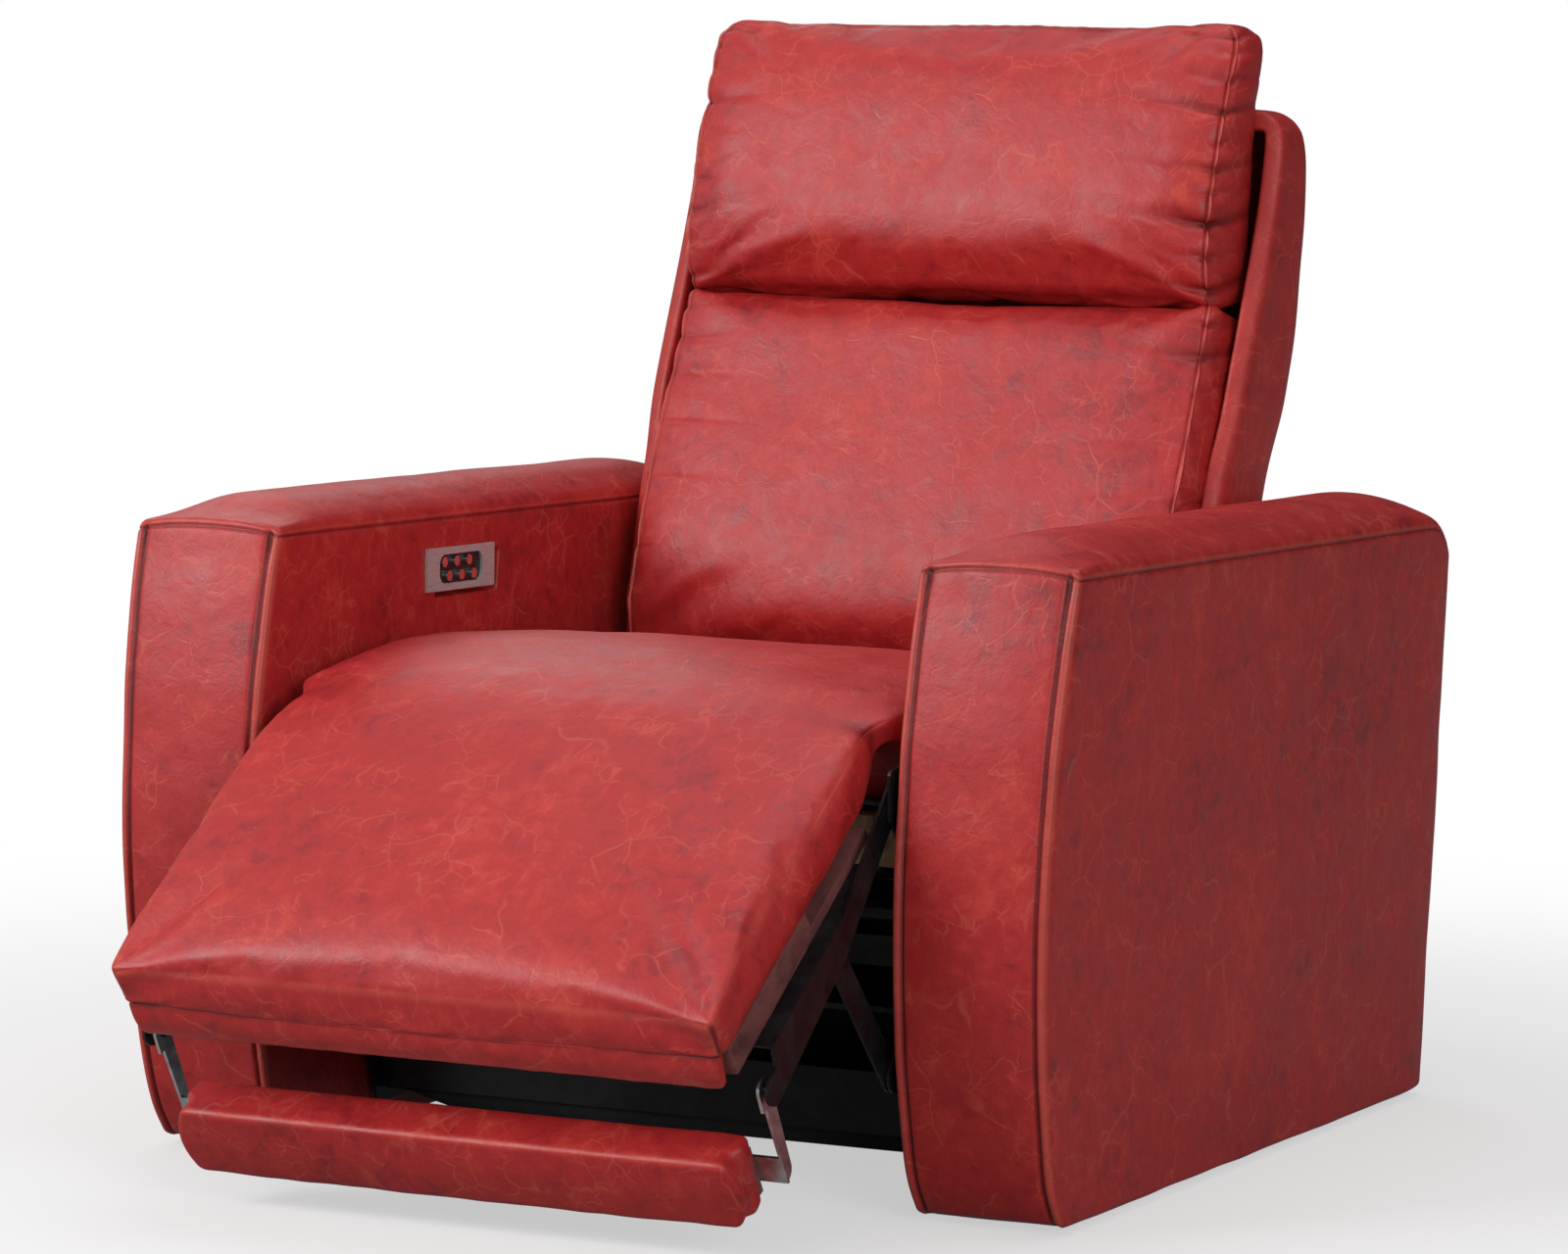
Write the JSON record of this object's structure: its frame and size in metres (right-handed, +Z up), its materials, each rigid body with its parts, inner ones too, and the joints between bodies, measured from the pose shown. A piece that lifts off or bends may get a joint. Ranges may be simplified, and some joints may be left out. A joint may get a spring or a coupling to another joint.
{
  "type": "reclining armchair",
  "caption": "Power reclining armchair with padded arms, a footrest half out on a steel linkage, a leaning back, a tilting headrest and a button plate inside one arm.",
  "frame": {"origin": "On the floor, at the centre of the chair's width and of its overall depth with the footrest half out.", "axes": "+X to the right as seen from the front, -Y the way the chair faces, +Z up."},
  "size_m": [1.016, 1.2313, 1.0813],
  "materials": {
    "red_leather": "semi-gloss, mottled, with lighter veins",
    "wrapped_board": "matt, dusty",
    "wood_frame": "bare plywood",
    "black_steel": "satin black",
    "zinc_steel": "zinc plated",
    "spring_steel": "oiled",
    "actuator_plastic": "fine texture",
    "black_plastic": "gloss",
    "glide_plastic": "matt",
    "brushed_nickel": "brushed nickel"
  },
  "bodies": {
    "chair_base": {"left_arm_cover": "red_leather", "right_arm_cover": "red_leather", "left_arm_front_panel": "red_leather", "right_arm_front_panel": "red_leather", "left_arm_boards": "wood_frame", "right_arm_boards": "wood_frame", "arm_spacer_blocks": "wood_frame", "arm_mount_spacers": "black_steel", "floor_glides": "glide_plastic", "left_side_plate": "black_steel", "right_side_plate": "black_steel", "front_base_beam": "black_steel", "rear_base_beam": "black_steel", "actuator_beam": "black_steel", "footrest_actuator": "actuator_plastic", "recline_actuator": "actuator_plastic", "left_seat_rail": "wood_frame", "right_seat_rail": "wood_frame", "front_seat_rail": "wood_frame", "rear_seat_rail": "wood_frame", "seat_mount_tabs": "black_steel", "seat_springs": "spring_steel", "seat_cushion": "red_leather", "control_bezel": "brushed_nickel", "control_housing": "black_plastic"},
    "footrest": {"footrest_pad": "red_leather", "footrest_board": "wrapped_board", "left_footrest_bracket": "black_steel", "right_footrest_bracket": "black_steel"},
    "flipper": {"flipper_pad": "red_leather", "flipper_board": "wrapped_board", "left_flipper_bracket": "zinc_steel", "right_flipper_bracket": "zinc_steel"},
    "torque_shaft": {"torque_tube": "black_steel", "left_crank": "black_steel", "right_crank": "black_steel"},
    "left_link": {"left_footrest_link": "black_steel"},
    "right_link": {"right_footrest_link": "black_steel"},
    "footrest_rod": {"footrest_push_rod": "zinc_steel"},
    "recline_rod": {"recline_push_rod": "zinc_steel"},
    "backrest": {"recline_tube": "black_steel", "left_back_hanger": "black_steel", "right_back_hanger": "black_steel", "left_back_rail": "wood_frame", "right_back_rail": "wood_frame", "lower_back_rail": "wood_frame", "upper_back_rail": "wood_frame", "back_springs": "spring_steel", "lumbar_cushion": "red_leather", "back_shell": "red_leather", "headrest_mounts": "black_steel"},
    "headrest": {"head_cushion": "red_leather", "head_board": "wood_frame", "headrest_arms": "black_steel"},
    "button_1": {"button_1": "brushed_nickel"},
    "button_2": {"button_2": "brushed_nickel"},
    "button_3": {"button_3": "brushed_nickel"},
    "button_4": {"button_4": "brushed_nickel"},
    "button_5": {"button_5": "brushed_nickel"},
    "button_6": {"button_6": "brushed_nickel"}
  },
  "joints": [
    {"name": "footrest_hinge", "type": "hinge", "parent": "chair_base", "child": "footrest", "pos_m": [0, -0.29006, 0.405], "axis": [-1, 0, 0], "range_deg": [-54, 36]},
    {"name": "flipper_hinge", "type": "hinge", "parent": "footrest", "child": "flipper", "pos_m": [0, -0.52177, 0.16249], "axis": [-1, 0, 0], "range_deg": [-94.5, 63]},
    {"name": "left_link_pivot", "type": "hinge", "parent": "footrest", "child": "left_link", "pos_m": [-0.3, -0.40056, 0.26786], "axis": [-1, 0, 0], "range_deg": [-36, 54]},
    {"name": "right_link_pivot", "type": "hinge", "parent": "footrest", "child": "right_link", "pos_m": [0.3, -0.40056, 0.26786], "axis": [-1, 0, 0], "range_deg": [-36, 54]},
    {"name": "torque_shaft_turn", "type": "hinge", "parent": "chair_base", "child": "torque_shaft", "pos_m": [0, -0.18006, 0.275], "axis": [-1, 0, 0], "range_deg": [-54, 36]},
    {"name": "footrest_rod_slide", "type": "slide", "parent": "chair_base", "child": "footrest_rod", "axis": [0, -1, 0], "range_m": [-0.0468, 0.0312]},
    {"name": "recline_hinge", "type": "hinge", "parent": "chair_base", "child": "backrest", "pos_m": [0, 0.37994, 0.36], "axis": [-1, 0, 0], "range_deg": [-8, 32]},
    {"name": "recline_rod_slide", "type": "slide", "parent": "chair_base", "child": "recline_rod", "axis": [0, -1, 0], "range_m": [-0.0183, 0.0728]},
    {"name": "headrest_tilt", "type": "hinge", "parent": "backrest", "child": "headrest", "pos_m": [0, 0.46996, 0.822], "axis": [1, 0, 0], "range_deg": [0, 35]},
    {"name": "button_1_press", "type": "slide", "parent": "chair_base", "child": "button_1", "axis": [-1, 0, 0], "range_m": [0, 0.0015], "stiffness_N_per_m": 400},
    {"name": "button_2_press", "type": "slide", "parent": "chair_base", "child": "button_2", "axis": [-1, 0, 0], "range_m": [0, 0.0015], "stiffness_N_per_m": 400},
    {"name": "button_3_press", "type": "slide", "parent": "chair_base", "child": "button_3", "axis": [-1, 0, 0], "range_m": [0, 0.0015], "stiffness_N_per_m": 400},
    {"name": "button_4_press", "type": "slide", "parent": "chair_base", "child": "button_4", "axis": [-1, 0, 0], "range_m": [0, 0.0015], "stiffness_N_per_m": 400},
    {"name": "button_5_press", "type": "slide", "parent": "chair_base", "child": "button_5", "axis": [-1, 0, 0], "range_m": [0, 0.0015], "stiffness_N_per_m": 400},
    {"name": "button_6_press", "type": "slide", "parent": "chair_base", "child": "button_6", "axis": [-1, 0, 0], "range_m": [0, 0.0015], "stiffness_N_per_m": 400}
  ],
  "couplings": [
    {"joint": "flipper_hinge", "follows": "footrest_hinge", "ratio": 1.75},
    {"joint": "left_link_pivot", "follows": "footrest_hinge", "ratio": -1},
    {"joint": "right_link_pivot", "follows": "footrest_hinge", "ratio": -1},
    {"joint": "torque_shaft_turn", "follows": "footrest_hinge", "ratio": 1},
    {"joint": "footrest_rod_slide", "follows": "footrest_hinge", "m_per_rad": 0.0495},
    {"joint": "recline_rod_slide", "follows": "recline_hinge", "m_per_rad": 0.13}
  ]
}
